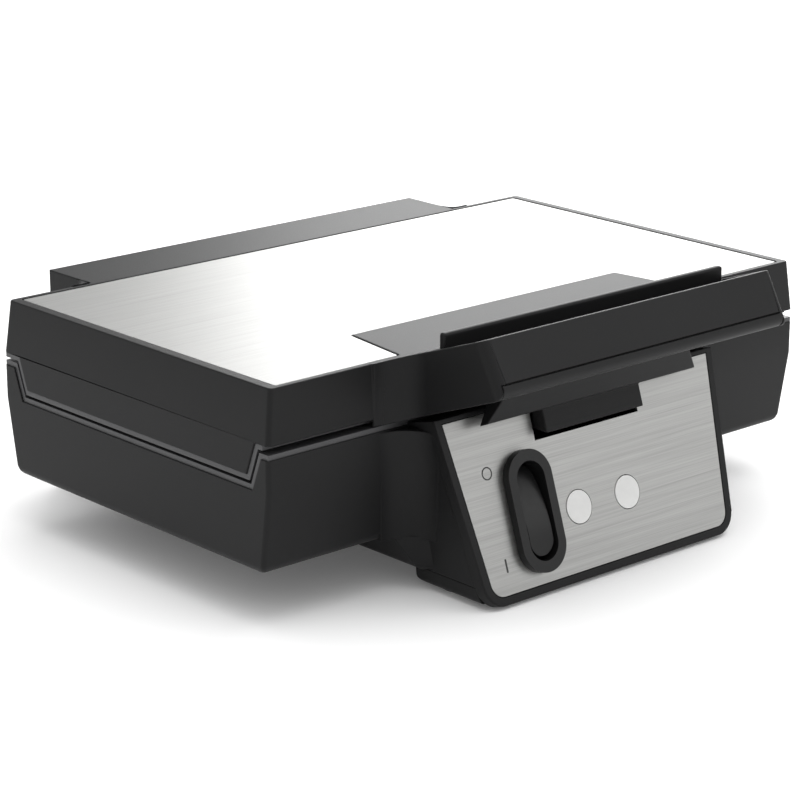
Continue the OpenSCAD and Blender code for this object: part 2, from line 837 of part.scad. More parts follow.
module fascia_plate() {
    color(steel) on_panel() translate([0, 0, -sheet_t - 0.1]) linear_extrude(sheet_t) difference() {
        panel_outline(0);
        panel_holes(gap);
    }
}

module switch_bezel() {
    color(black) on_panel() translate([-switch_x, switch_u, 0]) difference() {
        union() {
            linear_extrude(3.4) oval(switch_w, switch_l);
            translate([0, 0, -neck_depth]) linear_extrude(neck_depth + 0.1) oval(neck[0], neck[1]);
        }
        translate([0, 0, -neck_depth - 1]) linear_extrude(20) oval(collar_hole[0], collar_hole[1]);
        translate([0, 0, -rocker_depth - 2]) rod_x(1.05, -neck[0], neck[0]);
    }
}

module switch_body() {
    color([0.1, 0.1, 0.11]) on_panel() translate([-switch_x, switch_u, -body_depth]) {
        translate([0, 0, (body_depth - neck_depth) / 2])
            cube([neck[0] - 2, neck[1] - 4, body_depth - neck_depth], center = true);
    }
}

module rocker() {
    color([0.17, 0.17, 0.17]) on_panel() translate([-switch_x, switch_u, -rocker_depth - 2])
        rotate([-rocker_tilt, 0, 0]) difference() {
            intersection() {
                translate([0, 0, -2.8]) linear_extrude(8) oval(rocker_w, rocker_l);
                union() {
                    translate([0, 0, 5.2 - 60]) rod_x(60, -20, 20);
                    translate([-20, -30, -10]) cube([40, 60, 12]);
                }
            }
            rod_x(1.06, -20, 20);
        }
}

module rocker_pin() {
    color(zinc) on_panel() translate([-switch_x, switch_u, -rocker_depth - 2])
        rod_x(1, -neck[0] / 2 + 0.3, neck[0] / 2 - 0.3);
}

module lens(x) {
    color([0.92, 0.92, 0.9]) on_panel() translate([x, lens_u, 0]) {
        translate([0, 0, -face_t - 1.4]) cylinder(r = lens_d / 2, h = face_t + 1.4);
        translate([0, 0, -face_t - 1.4]) cylinder(r = lens_d / 2 + 1.6, h = 1.3);
    }
}

module power_lens() {
    lens(lens_x - lens_pitch / 2);
}

module ready_lens() {
    lens(lens_x + lens_pitch / 2);
}

module pilot_lamps() {
    color([0.9, 0.55, 0.3]) on_panel() for (x = [-1, 1])
        translate([lens_x + x * lens_pitch / 2, lens_u, -board_depth]) {
            cylinder(r = 2.8, h = 11);
            translate([0, 0, 11]) sphere(2.8);
        }
}

module lamp_board() {
    color([0.2, 0.4, 0.22]) on_panel()
        box([lens_x - lens_pitch / 2 - 7, lens_u - 6, -board_depth - 1.6],
            [lens_x + lens_pitch / 2 + 7, lens_u + 6, -board_depth - 0.02]);
}

module rubber_feet() {
    color([0.1, 0.1, 0.1]) for (x = [-1, 1]) {
        translate([x * front_foot_x, front - 16, 0]) cylinder(r = foot_r, h = foot_h);
        translate([x * (block_w - 18), (back + 1 + block_y) / 2, 0]) cylinder(r = foot_r, h = foot_h);
    }
}

module cord_gland() {
    color(black) translate([gland_x, block_y, gland_z]) rotate([-90, 0, 0]) difference() {
        union() {
            translate([0, 0, -wall - 2]) cylinder(r = 9, h = wall + 3.5);
            translate([0, 0, 0.1]) cylinder(r = 11, h = 1.4);
            translate([0, 0, 1.4]) cylinder(r1 = 8.6, r2 = 7, h = gland_out - 1.4);
        }
        translate([0, 0, -10]) cylinder(r = cord_d / 2, h = 30);
    }
}

module terminal_block() {
    color([0.85, 0.83, 0.76]) translate([0, 0, z_base + wall]) for (i = [0:2])
        difference() {
            box([gland_x + 26 + i * lead_pitch, hinge_y - 8, 0],
                [gland_x + 34.8 + i * lead_pitch, hinge_y + 6, 11]);
            translate([gland_x + 30.4 + i * lead_pitch, hinge_y - 9, 4]) rotate([-90, 0, 0]) cylinder(r = 2, h = 20);
        }
}

// A wire through a list of points
module wire(r, path) {
    for (i = [0:len(path) - 2]) {
        d = path[i + 1] - path[i];
        l = norm(d);
        translate(path[i])
            rotate([0, acos(d[2] / l), atan2(d[1], d[0])]) cylinder(r = r, h = l, $fn = 20);
    }
    if (len(path) > 2)
        for (i = [1:len(path) - 2]) translate(path[i]) sphere(r + 0.25, $fn = 20);
}

module base_wiring() {
    z = z_base + wall + 2;
    color([0.75, 0.72, 0.66]) for (i = [0:1])
        wire(lead_r, [
            [gland_x + 30.4 + i * lead_pitch, hinge_y - 9, z + 2],
            [gland_x + 30.4 + i * lead_pitch, back - 10, z],
            [-switch_x + 3 + i * 5, front + 26, z],
            [-switch_x + 3 + i * 5, front - 2.4, z + 3]]);
}

module lid_wiring() {
    color([0.75, 0.72, 0.66]) for (i = [0:1])
        wire(lead_r, [
            [14 + i * 7, back - 1, lid_lead_z],
            [-land / 2 - waffle_w + 16, (0.5 - i) * 50, lid_lead_z]]);
}

module hinge_pins() {
    color(zinc) both_sides() on_hinge() rod_x(hinge_pin_r, lug_in + 1, lug_out - 1);
}

// -------------------------------------------------------------- handle parts

module handle_lower_cover() {
    w = handle_w - handle_t - 0.2;
    color(black) difference() {
        along_x(2 * w) difference() {
            polygon(handle_outline(0));
            polygon(handle_outline(handle_t));
            translate([-300, grip_seam[1] - 0.25]) square([600, 100]);
            translate([cover_back, -20]) square([300, 200]);
        }
        at_grip_screws() {
            cylinder(r = screw_r, h = 8);
            translate([0, 0, -1]) cylinder(r = head_r, h = 1.9);
        }
    }
}

module handle_screws() {
    color(zinc) at_grip_screws() {
        translate([0, 0, 0.1]) cylinder(r = head_r - 0.2, h = 0.7);
        translate([0, 0, 0.7]) cylinder(r = screw_r - 0.1, h = 8);
    }
}

module latch_lever() {
    y = fin_y;
    apron_low = z_lid - 5;
    color(black) difference() {
        union() {
            along_x(2 * lever_w) polygon([
                [y, z_top + fin_top], [y - fin_t, z_top + fin_top], [y - fin_t, pivot[1]], [y, pivot[1]]]);
            translate([0, pivot[0], pivot[1]]) rod_x(hub_r, -lever_w + 0.6, lever_w - 0.6);
            intersection() {
                along_x(150) polygon([
                    [pivot[0] - hub_r, pivot[1]], [y - 8.9, z_lid + 5.5], [y - 6.6, apron_low + 1.5],
                    [y - 3.4, apron_low], [y - 1.6, z_lid + 5], [pivot[0] + hub_r, pivot[1]]]);
                along_y(far) polygon([
                    [-59, apron_low - 2], [59, apron_low - 2], [50.5, z_lid + 6], [50.5, pivot[1] + 9],
                    [-50.5, pivot[1] + 9], [-50.5, z_lid + 6]]);
            }
            along_x(2 * tongue_w) polygon([
                [panel_face(tongue_low) - tongue_out, tongue_low],
                [panel_face(apron_low + 2) - tongue_out, apron_low + 2],
                [tongue_back, apron_low + 2], [tongue_back, tongue_low]]);
        }
        translate([0, pivot[0], pivot[1]]) rod_x(latch_pin_r + pin_fit, -100, 100);
    }
}

module latch_pin() {
    color(zinc) translate([0, pivot[0], pivot[1]]) rod_x(latch_pin_r, -handle_w + 1.1, handle_w - 1.1);
}

// Flat steel spring that returns the latch
module latch_spring() {
    y0 = handle_start - 1.4;
    color(zinc) for (x = [-1, 1])
        translate([x * 30 - 4, 0, 0]) {
            box([0, fin_y + 1.6, z_top - 12], [8, y0, z_top - 11.4]);
            box([0, y0 - 0.6, z_top - 18], [8, y0, z_top - 12]);
            box([0, fin_y + 1, z_top - 12], [8, fin_y + 1.6, z_top - 7]);
        }
}

placed() base_housing();
placed() bottom_cover();
placed() cover_screws();
placed() fascia_plate();
placed() switch_bezel();
placed() switch_body();
placed() rocker();
placed() rocker_pin();
placed() power_lens();
placed() ready_lens();
placed() pilot_lamps();
placed() lamp_board();
placed() lower_grid_plate();
placed() lower_plate_screws();
placed() lower_heating_element();
placed() lower_reflector();
placed() thermostat();
placed() thermal_fuse();
placed() terminal_block();
placed() base_wiring();
placed() cord_gland();
placed() rubber_feet();
placed() hinge_pins();
placed() lid_housing();
placed() lid_top_plate();
placed() upper_grid_plate();
placed() upper_plate_screws();
placed() upper_heating_element();
placed() upper_reflector();
placed() lid_wiring();
placed() handle_lower_cover();
placed() handle_screws();
placed() latch_lever();
placed() latch_pin();
placed() latch_spring();
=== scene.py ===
from math import cos, radians, sin, tan

import bmesh
import bpy
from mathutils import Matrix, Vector


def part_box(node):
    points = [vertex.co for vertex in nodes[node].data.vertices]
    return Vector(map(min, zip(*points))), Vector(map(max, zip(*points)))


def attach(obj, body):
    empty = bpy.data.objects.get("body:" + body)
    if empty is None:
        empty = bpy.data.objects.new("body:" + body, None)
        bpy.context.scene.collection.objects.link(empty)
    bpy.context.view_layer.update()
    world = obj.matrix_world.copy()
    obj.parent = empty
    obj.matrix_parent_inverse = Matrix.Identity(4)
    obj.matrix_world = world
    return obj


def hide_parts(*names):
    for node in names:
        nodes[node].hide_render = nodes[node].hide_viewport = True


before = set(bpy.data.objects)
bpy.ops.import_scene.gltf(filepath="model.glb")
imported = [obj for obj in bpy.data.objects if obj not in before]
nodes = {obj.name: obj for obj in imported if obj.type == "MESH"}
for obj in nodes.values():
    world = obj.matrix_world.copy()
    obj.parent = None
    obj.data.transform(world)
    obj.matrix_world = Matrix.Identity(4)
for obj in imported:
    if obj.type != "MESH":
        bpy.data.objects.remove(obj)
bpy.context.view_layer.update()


# ---------------------------------------------------------------- the shot
# A long lens a good metre away, a little above the lid and off to the left of the front, with the whole
# iron in the picture. The floor is plain pale paper, under one big ceiling box, two weak side boxes and a
# pale sky that brightens overhead.

camera = bpy.data.cameras.new("camera")
camera.lens = 126.05
camera.sensor_width = 36
camera.shift_x = -0.00596
camera.shift_y = -0.0009
camera.clip_end = 20
shot = bpy.data.objects.new("camera", camera)
bpy.context.scene.collection.objects.link(shot)
shot.location = (-0.73988, -0.82027, 0.38331)
turn, rise = radians(-41.71), radians(17.05)
away = Vector((sin(turn) * cos(rise), -cos(turn) * cos(rise), sin(rise)))
shot.rotation_euler = (-away).to_track_quat("-Z", "Y").to_euler()
bpy.context.scene.camera = shot
bpy.context.scene.view_settings.view_transform = "Standard"


class Tap:
    """One socket of a material, so that arithmetic on it adds the Math nodes."""

    def __init__(self, tree, socket):
        self.tree, self.socket = tree, socket

    def math(self, operation, *values):
        return node_in(self.tree, "ShaderNodeMath", {"operation": operation}, dict(enumerate(values)))

    def __add__(self, other):
        return self.math("ADD", self, other)

    __radd__ = __add__

    def __mul__(self, other):
        return self.math("MULTIPLY", self, other)

    __rmul__ = __mul__

    def between(self, low, high):
        """0 below low, 1 above high, and a smooth step from one to the other."""
        return node_in(self.tree, "ShaderNodeMapRange", {"interpolation_type": "SMOOTHSTEP"},
                       {0: self, 1: low, 2: high, 3: 0.0, 4: 1.0})


def node_in(tree, kind, settings, sockets, out=0):
    """Adds a node, sets it up, then fills or links its sockets; gives back one of its outputs."""
    made = tree.nodes.new(kind)
    for key, value in settings.items():
        setattr(made, key, value)
    for key, value in sockets.items():
        if isinstance(value, Tap):
            tree.links.new(value.socket, made.inputs[key])
        elif value is not None:
            made.inputs[key].default_value = value
    return Tap(tree, made.outputs[out]) if made.outputs else None


def finish_named(name):
    """An empty material, its node tree, and the piece's own coordinates in metres."""
    made = bpy.data.materials.new(name)
    made.use_nodes = True
    tree = made.node_tree
    tree.nodes.clear()
    return made, tree, node_in(tree, "ShaderNodeTexCoord", {}, {}, out="Object")


def surface(tree, **sockets):
    """The surface shader, filled from values or links, joined to the output."""
    names = {key.replace("_", " "): value for key, value in sockets.items()}
    node_in(tree, "ShaderNodeOutputMaterial", {},
            {"Surface": node_in(tree, "ShaderNodeBsdfPrincipled", {}, names)})


def noise(tree, where, scale, detail=3.0, rough=0.55):
    return node_in(tree, "ShaderNodeTexNoise", {},
                   {"Vector": where, "Scale": scale, "Detail": detail, "Roughness": rough})


bpy.ops.object.select_all(action="DESELECT")
bpy.ops.mesh.primitive_plane_add(size=9, location=(0, 0, 0))
paper = bpy.context.object
paper.name = "paper_floor"
paper_white, tree, place = finish_named("paper_white")
surface(tree, Base_Color=(0.93, 0.93, 0.93, 1), Roughness=0.95, Specular_IOR_Level=0.0,
        Emission_Color=(1, 1, 1, 1), Emission_Strength=0.07)
paper.data.materials.append(paper_white)


def softbox(name, location, target, wide, high, power):
    """A flat studio light that faces its target."""
    lamp = bpy.data.lights.new(name, "AREA")
    lamp.shape = "RECTANGLE"
    lamp.size, lamp.size_y = wide, high
    lamp.energy = power
    made = bpy.data.objects.new(name, lamp)
    bpy.context.scene.collection.objects.link(made)
    made.location = location
    made.rotation_euler = (Vector(target) - Vector(location)).to_track_quat("-Z", "Y").to_euler()


softbox("ceiling_box", (0.1, -0.1, 1.7), (0, 0, 0.05), 2.2, 1.8, 19)
softbox("back_box", (0.92, 0.66, 0.47), (0.08, 0, 0.09), 0.8, 0.5, 7)
softbox("front_box", (1.2, -1.3, 0.7), (0, 0, 0.05), 0.9, 0.9, 4)
air = bpy.data.worlds.new("studio_air")
air.use_nodes = True
tree = air.node_tree
tree.nodes.clear()
direction = node_in(tree, "ShaderNodeTexCoord", {}, {}, out=0)
sky_way = node_in(tree, "ShaderNodeSeparateXYZ", {}, {0: direction}, out=2)
glow = 0.62 + 0.42 * sky_way.between(0.15, 0.9)
node_in(tree, "ShaderNodeOutputWorld", {},
        {"Surface": node_in(tree, "ShaderNodeBackground", {}, {"Color": (1, 1, 1, 1), "Strength": glow})})
bpy.context.scene.world = air


# ---------------------------------------------------------------- base housing
# The lower shell is one injection moulding in black satin plastic: a shallow tray for the lower baking
# plate, the control box in front of it, a keel under the middle, and a rear block with two legs and the
# knuckles of the hinge. Its rim is stepped along both ends, so that batter can't run out at the front.

middle = (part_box("lid_top_plate")[0].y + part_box("lid_top_plate")[1].y) / 2


def at(x, y, z):
    """A point in millimetres, measured from the middle of the plates and from the table."""
    return Vector((x / 1000, y / 1000 + middle, z / 1000))


def pick(piece):
    """Makes this the only selected object, and the active one."""
    bpy.ops.object.select_all(action="DESELECT")
    piece.select_set(True)
    bpy.context.view_layer.objects.active = piece


def settle(piece):
    """Works the piece's place and turn into its mesh."""
    pick(piece)
    bpy.ops.object.transform_apply(location=True, rotation=True, scale=True)
    return piece


def billet(name, low, high):
    """A block cut to size, in its place."""
    bpy.ops.object.select_all(action="DESELECT")
    bpy.ops.mesh.primitive_cube_add(size=1, location=(low + high) / 2)
    made = bpy.context.object
    made.name = made.data.name = name
    made.scale = high - low
    return settle(made)


def side_block(name, side, near, far, low, high):
    """A block on one side of the middle, between two distances from it; low and high are its Y and Z."""
    return billet(name, at(min(side * near, side * far), *low), at(max(side * near, side * far), *high))


def rod(name, centre, radius, length, axis="Z", sides=64):
    """A round bar about its centre, along one axis."""
    bpy.ops.object.select_all(action="DESELECT")
    spin = {"X": (0, radians(90), 0), "Y": (radians(90), 0, 0), "Z": (0, 0, 0)}[axis]
    bpy.ops.mesh.primitive_cylinder_add(vertices=sides, radius=radius, depth=length, location=centre,
                                        rotation=spin)
    made = bpy.context.object
    made.name = made.data.name = name
    return settle(made)


def choose(piece, kind, test):
    """Opens the piece for editing with only those corners, edges or faces selected that pass the test.
    The test gets the middle of each, and an edge's direction or a face's normal."""
    pick(piece)
    bpy.ops.object.mode_set(mode="EDIT")
    bpy.ops.mesh.select_mode(type=kind)
    bpy.ops.mesh.select_all(action="DESELECT")
    mesh = bmesh.from_edit_mesh(piece.data)
    for item in {"VERT": mesh.verts, "EDGE": mesh.edges, "FACE": mesh.faces}[kind]:
        if kind == "VERT":
            passed = test(item.co, None)
        elif kind == "EDGE":
            a, b = (v.co for v in item.verts)
            passed = test((a + b) / 2, (b - a).normalized())
        else:
            passed = test(item.calc_center_median(), item.normal)
        if passed:
            item.select_set(True)
    mesh.select_flush_mode()
    bmesh.update_edit_mesh(piece.data)


def close():
    bpy.ops.object.mode_set(mode="OBJECT")


def face_out(piece):
    """Turns every face outwards."""
    choose(piece, "VERT", lambda c, d: True)
    bpy.ops.mesh.normals_make_consistent(inside=False)
    close()


def saw(piece, point, normal, keep_both=False):
    """Cuts through the piece. What lies on the normal's side drops off, or both sides stay."""
    choose(piece, "VERT", lambda c, d: True)
    bpy.ops.mesh.bisect(plane_co=point, plane_no=Vector(normal).normalized(), use_fill=not keep_both,
                        clear_outer=not keep_both, threshold=0.0000005)
    close()
    face_out(piece)


def shift(piece, test, by):
    """Pushes some of its corners along."""
    choose(piece, "VERT", lambda c, d: test(c))
    bpy.ops.transform.translate(value=by)
    close()


def apply_last(piece):
    pick(piece)
    bpy.ops.object.modifier_apply(modifier=piece.modifiers[-1].name)


def press(piece, tool, how="UNION"):
    """Joins a tool block to the piece, or cuts it away."""
    step = piece.modifiers.new("press", "BOOLEAN")
    step.operation, step.solver, step.object = how, "EXACT", tool
    apply_last(piece)
    bpy.data.objects.remove(tool)


def clean(piece, angle=0.4):
    """Merges doubled corners and faces that lie in one plane."""
    choose(piece, "VERT", lambda c, d: True)
    bpy.ops.mesh.remove_doubles(threshold=0.000004)
    bpy.ops.mesh.dissolve_limited(angle_limit=radians(angle))
    close()


def weigh(piece, test, share):
    """Marks edges for rounding, with their share of the full radius."""
    choose(piece, "EDGE", test)
    bpy.ops.transform.edge_bevelweight(value=share)
    close()


def soften(piece, radius, steps=3, marked=False, angle=28):
    """Rounds the marked edges, or every edge sharper than the angle."""
    step = piece.modifiers.new("edges", "BEVEL")
    step.width, step.segments = radius, steps
    step.limit_method = "WEIGHT" if marked else "ANGLE"
    step.angle_limit = radians(angle)
    step.use_clamp_overlap = marked
    step.miter_outer = "MITER_ARC" if marked else "MITER_SHARP"
    apply_last(piece)


def polish(piece, body, *materials, replaces=(), slot=None, angle=32):
    """Smooths the rounded edges, keeps flat faces flat, and fixes the piece to its body."""
    pick(piece)
    bpy.ops.object.shade_smooth_by_angle(angle=radians(angle))
    step = piece.modifiers.new("flats", "WEIGHTED_NORMAL")
    step.keep_sharp = True
    apply_last(piece)
    piece.data.materials.clear()
    for material in materials:
        piece.data.materials.append(material)
    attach(piece, body)
    if replaces:
        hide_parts(*replaces)


def tint(tree, factor, dark, light):
    """A colour between two, by a value from 0 to 1."""
    return node_in(tree, "ShaderNodeMix", {"data_type": "RGBA"},
                   {0: factor, 6: (*dark, 1), 7: (*light, 1)}, out=2)


def bump(tree, height, depth, strength=1.0, under=None):
    """Fine relief in metres, over the true normal or over one that is already softened."""
    return node_in(tree, "ShaderNodeBump", {},
                   {"Height": height, "Distance": depth, "Strength": strength, "Normal": under})


black_plastic, tree, place = finish_named("black_plastic")
grain = noise(tree, place, 2200, 2)
cloud = noise(tree, place, 14, 2)
edge = node_in(tree, "ShaderNodeBevel", {"samples": 4}, {"Radius": 0.0006})
surface(tree, Base_Color=tint(tree, cloud, (0.0085, 0.0085, 0.0088), (0.0112, 0.0112, 0.0115)),
        Roughness=0.42 + 0.10 * grain, Specular_IOR_Level=0.15,
        Normal=bump(tree, grain, 0.000018, 0.6, edge))

body_half, base_front = 142.5, -83.8
base_foot, crease, dip_floor = 22, 54.1, 54.4
wall_lean, end_lean = 0.1543, 0.0185


def base_block(name, inset, foot, head):
    """The base's four leaning walls, or its hollow when inset."""
    made = billet(name, at(-body_half + inset, base_front + inset, foot),
                  at(body_half - inset, -base_front - inset, head))
    for side in (-1, 1):
        saw(made, at(0, side * (-base_front - inset), crease), (0, side, -wall_lean))
        saw(made, at(side * (body_half - inset), 0, crease), (side, 0, -end_lean))
    return made


base = base_block("base_shell", 0, base_foot, 67.5)
weigh(base, lambda c, d: c.z < 0.0221, 1.0)
weigh(base, lambda c, d: abs(c.x) > 0.141 and abs(c.y - middle) > 0.077 and abs(d.z) > 0.9, 0.45)
soften(base, 0.004, 5, marked=True)

# the dip of the rim along both ends
dip = billet("dip", at(-160, -74.5, dip_floor), at(160, 72, 80))
choose(dip, "VERT", lambda c, d: c.z > 0.079)
bpy.ops.transform.resize(value=(1, 1.13345, 1), center_override=at(0, -1.25, 80))
close()
press(base, dip, "DIFFERENCE")

# control box: a wedge with leaning sides, and the raised frame that holds the fascia
tilt = radians(18.2)
panel_out = Vector((0, -cos(tilt), sin(tilt)))
panel_y, panel_z = -120.5, 5.1
box_half, box_lean = 67.7, 0.1165
top_y, top_z, top_out = -98.48, 72.07, (0, 0.2466, 1)


def box_block(name, inset, foot):
    """The control box, or its hollow when inset."""
    made = billet(name, at(-95, -130, foot), at(95, -72 + inset, 80))
    saw(made, at(0, panel_y, panel_z) - panel_out * inset / 1000, panel_out)
    saw(made, at(0, top_y, top_z - inset), top_out)
    for side in (-1, 1):
        saw(made, at(side * (box_half - inset), 0, panel_z), (side, 0, -box_lean))
    saw(made, at(0, -79.8 - inset, 9), (0, 13.5, -4))
    return made


def to_panel(piece):
    """Moves a piece made flat, with X and Y on the panel and Z out of it, into its place there."""
    piece.rotation_euler = (radians(90) - tilt, 0, 0)
    piece.location = at(0, panel_y, panel_z)
    return settle(piece)


panel_high = 68.6


def panel_sheet(name, grow, back, face):
    """A sheet of the fascia's outline, grown all round, with its two lower corners rounded."""
    high = panel_high + grow
    made = billet(name, Vector((-0.09, -grow / 1000, back / 1000)), Vector((0.09, high / 1000, face / 1000)))
    lean = 7.8 / (panel_high + 2 * grow)
    for side in (-1, 1):
        saw(made, Vector((side * (64.1 + grow), -grow, 0)) / 1000, (side, -lean, 0))
    choose(made, "EDGE", lambda c, d: abs(d.z) > 0.9 and c.y < 0.001)
    bpy.ops.mesh.bevel(offset=0.9 * (6 + grow) / 1000, segments=12, affect="EDGES")
    close()
    return made


surround = panel_sheet("surround", 3.6, -4.7, 0)
weigh(surround, lambda c, d: c.z > -0.0001, 1.0)
soften(surround, 0.0008, 3, marked=True)
to_panel(surround)
saw(surround, at(0, top_y, top_z), top_out)
press(base, box_block("control_box", 0, 9))
press(base, surround)

# hollow fillets between the front wall and the box
fillet, ease, blend_head = 15, 0.06, 66.9


def corner_at(side, z):
    """Where the box's side meets the front wall, at height z."""
    return side * (box_half + box_lean * (z - panel_z)), base_front + max(0, dip_floor - z) * wall_lean


for side in (-1, 1):
    x, y = corner_at(side, base_foot)
    blend = side_block("blend", side, abs(x) - 3, abs(x) + fillet,
                       (y - fillet, base_foot), (y + 3, blend_head))
    scoop = rod("scoop", at(x + (fillet + ease) * side, y - fillet - ease, 44.45), fillet / 1000, 0.0489,
                sides=96)
    for tool in (blend, scoop):
        saw(tool, at(0, 0, dip_floor), (0, 0, 1), keep_both=True)
        for z in (dip_floor, blend_head):
            ax, ay = corner_at(side, z)
            bx, by = corner_at(side, base_foot if z < 60 else dip_floor)
            shift(tool, lambda c: c.z > z / 1000 - 0.0005, ((ax - bx) / 1000, (ay - by) / 1000, 0))
    press(blend, scoop, "DIFFERENCE")
    press(base, blend)

keel = billet("keel", at(-85, -91.8, 9.2), at(85, 85.8, 23))
for side in (-1, 1):
    saw(keel, at(side * 72, 0, 9.2), (side * 13.8, 0, -7))
    saw(keel, at(side * box_half, -91.8, 9.2), (side * 14, -12.3, 0))
choose(keel, "EDGE", lambda c, d: c.z < 0.0093 and abs(d.y) > 0.3)
bpy.ops.mesh.bevel(offset=0.003, segments=5, affect="EDGES")
close()
press(base, keel)

# rear block with two legs, and the knuckles that carry the lid
rear_half, rear_back = 100.3, 111.5
hinge_x, hinge_y, hinge_z = 74, 98.5, 66
pin_bore = 0.00305
rear = billet("rear", at(-rear_half, 78, base_foot), at(rear_half, rear_back, 50.4))
for side in (-1, 1):
    press(rear, side_block("leg", side, 64.3, rear_half, (84.8, 2.5), (rear_back, 30)))
clean(rear)
weigh(rear, lambda c, d: abs(d.z) > 0.9 and c.y > at(0, 108, 0).y, 1.0)
weigh(rear, lambda c, d: c.z < 0.0026, 0.5)
weigh(rear, lambda c, d: c.z > 0.0503 and c.y > at(0, 90, 0).y, 0.3)
soften(rear, 0.003, 4, marked=True)
press(base, rear)
for x in (-hinge_x, hinge_x):
    knuckle = rod("knuckle", at(x, hinge_y, hinge_z), 0.0085, 0.008, "X")
    press(knuckle, billet("post", at(x - 4, 90, 49), at(x + 4, 107, hinge_z)))
    press(base, knuckle)
    press(base, rod("pin_hole", at(x, hinge_y, hinge_z), pin_bore, 0.03, "X"), "DIFFERENCE")

# the inside
tray_wall, box_wall = 2.4, 2.6
press(base, base_block("tray", tray_wall, 24.4, 90), "DIFFERENCE")
press(base, box_block("box_hollow", box_wall, 8), "DIFFERENCE")
press(base, billet("keel_hollow", at(-68, -77, 11.6), at(68, 83.4, 30)), "DIFFERENCE")
press(base, billet("block_hollow", at(-97.9, 80, 24.4), at(97.9, 109.1, 48)), "DIFFERENCE")

# seats in the panel: the steel's recess, the switch, the two lights, and the slot for the latch's tongue
press(base, to_panel(panel_sheet("seat", 0.3, -1, 6)), "DIFFERENCE")


def oval(name, wide, long, back, face, sides=64):
    """An upright bar of oval outline, flat on the bench."""
    made = rod(name, Vector((0, 0, (back + face) / 2000)), wide / 2000, (face - back) / 1000, sides=sides)
    for way in (-1, 1):
        shift(made, lambda c: c.y * way > 0.00001, (0, way * (long - wide) / 2000, 0))
    return made


def carried(piece, x, u):
    """Slides a piece on the bench to its place on the panel."""
    shift(piece, lambda c: True, (x / 1000, u / 1000, 0))
    return to_panel(piece)


switch_at, lights_at = (-37.3, 28), ((-13, 24.3), (13.6, 24.3))
slot_at = (-28.1, 53.6, 28.1, 67.4)
neck_wide, neck_long, lens_r = 19, 43.2, 6.5
opening_gap = 0.3


def panel_openings(piece, ease):
    """Cuts the openings of the panel, each eased all round."""
    switch_hole = oval("hole", neck_wide + 2 * ease, neck_long + 2 * ease, -12, 4)
    press(piece, carried(switch_hole, *switch_at), "DIFFERENCE")
    for place_on in lights_at:
        hole = rod("hole", Vector((0, 0, -0.004)), (lens_r + ease) / 1000, 0.016)
        press(piece, carried(hole, *place_on), "DIFFERENCE")
    x0, u0, x1, u1 = slot_at
    hole = billet("slot", Vector((x0, u0, -12)) / 1000, Vector((x1, u1, 4)) / 1000)
    press(piece, to_panel(hole), "DIFFERENCE")


panel_openings(base, opening_gap)
press(base, rod("cord_hole", at(-46, 111, 34.4), 0.0092, 0.01, "Y"), "DIFFERENCE")
clean(base)
polish(base, "base", black_plastic, replaces=["base_housing"], slot="black_plastic")


# ---------------------------------------------------------------- bottom cover
# A shallow moulded lid that closes the control box from below. It stands on the two front feet, and its two
# screws go up through bosses into the base.

front_lip = (2.8 + 1.9) / cos(tilt) + 0.4


def cover_block(name, inset, foot, head):
    """The cover's solid between the walls of the box, or its hollow when inset."""
    made = billet(name, at(-80, -130, foot), at(80, -79.8 - inset, head))
    saw(made, at(0, panel_y + front_lip + inset, panel_z), panel_out)
    for side in (-1, 1):
        saw(made, at(side * (67.5 - inset), 0, panel_z), (side, 0, -box_lean))
    return made


cover = cover_block("bottom_tray", 0, 2.5, 8.8)
weigh(cover, lambda c, d: c.z < 0.0026 and c.y > at(0, -90, 0).y and abs(d.x) > 0.9, 1.0)
weigh(cover, lambda c, d: c.z < 0.0026 and abs(c.x) > 0.06, 0.35)
soften(cover, 0.004, 5, marked=True)
press(cover, cover_block("cover_hollow", 2.2, 4.5, 12), "DIFFERENCE")
cover_screw_x, cover_screw_y = 62.5, -95.8
for x in (-cover_screw_x, cover_screw_x):
    press(cover, rod("boss", at(x, cover_screw_y, 5.6), 0.0036, 0.0063))
    press(cover, rod("screw_seat", at(x, cover_screw_y, 3), 0.0032, 0.004), "DIFFERENCE")
    press(cover, rod("screw_hole", at(x, cover_screw_y, 6), 0.0016, 0.01), "DIFFERENCE")
clean(cover)
soften(cover, 0.0003, 2, angle=50)
polish(cover, "base", black_plastic, replaces=["bottom_cover"], slot="black_plastic")


# ---------------------------------------------------------------- zinc screws
# Pan-head screws with a cross recess and a plain shank: two in the bottom cover from below, and two more in
# the underside of the handle.

bright_zinc, tree, place = finish_named("bright_zinc")
stain = noise(tree, place, 900, 3)
surface(tree, Base_Color=tint(tree, stain, (0.42, 0.42, 0.41), (0.62, 0.62, 0.6)), Metallic=1.0,
        Roughness=0.26 + 0.2 * stain, Normal=bump(tree, stain, 0.00001, 0.5))


def screw(name, foot, lean, head_high, length):
    """A screw that stands on its head at foot, leaning by an angle about X."""
    made = rod(name, Vector((0, 0, head_high / 2)), 0.003, head_high)
    choose(made, "EDGE", lambda c, d: c.z < 0.0001)
    bpy.ops.mesh.bevel(offset=0.0005, segments=3, affect="EDGES")
    close()
    press(made, rod("shank", Vector((0, 0, head_high + length / 2 - 0.0001)), 0.0015, length, sides=24))
    for wide, deep in ((0.0035, 0.0007), (0.0007, 0.0035)):
        slot_low = Vector((-wide / 2, -deep / 2, -0.001))
        press(made, billet("drive", slot_low, Vector((wide / 2, deep / 2, head_high * 0.6))), "DIFFERENCE")
    made.rotation_euler = (lean, 0, 0)
    made.location = foot
    return settle(made)


def joined(name, parts):
    """Puts loose parts that share a node into one piece."""
    bpy.ops.object.select_all(action="DESELECT")
    for part in parts:
        part.select_set(True)
    bpy.context.view_layer.objects.active = parts[0]
    bpy.ops.object.join()
    parts[0].name = parts[0].data.name = name
    return parts[0]


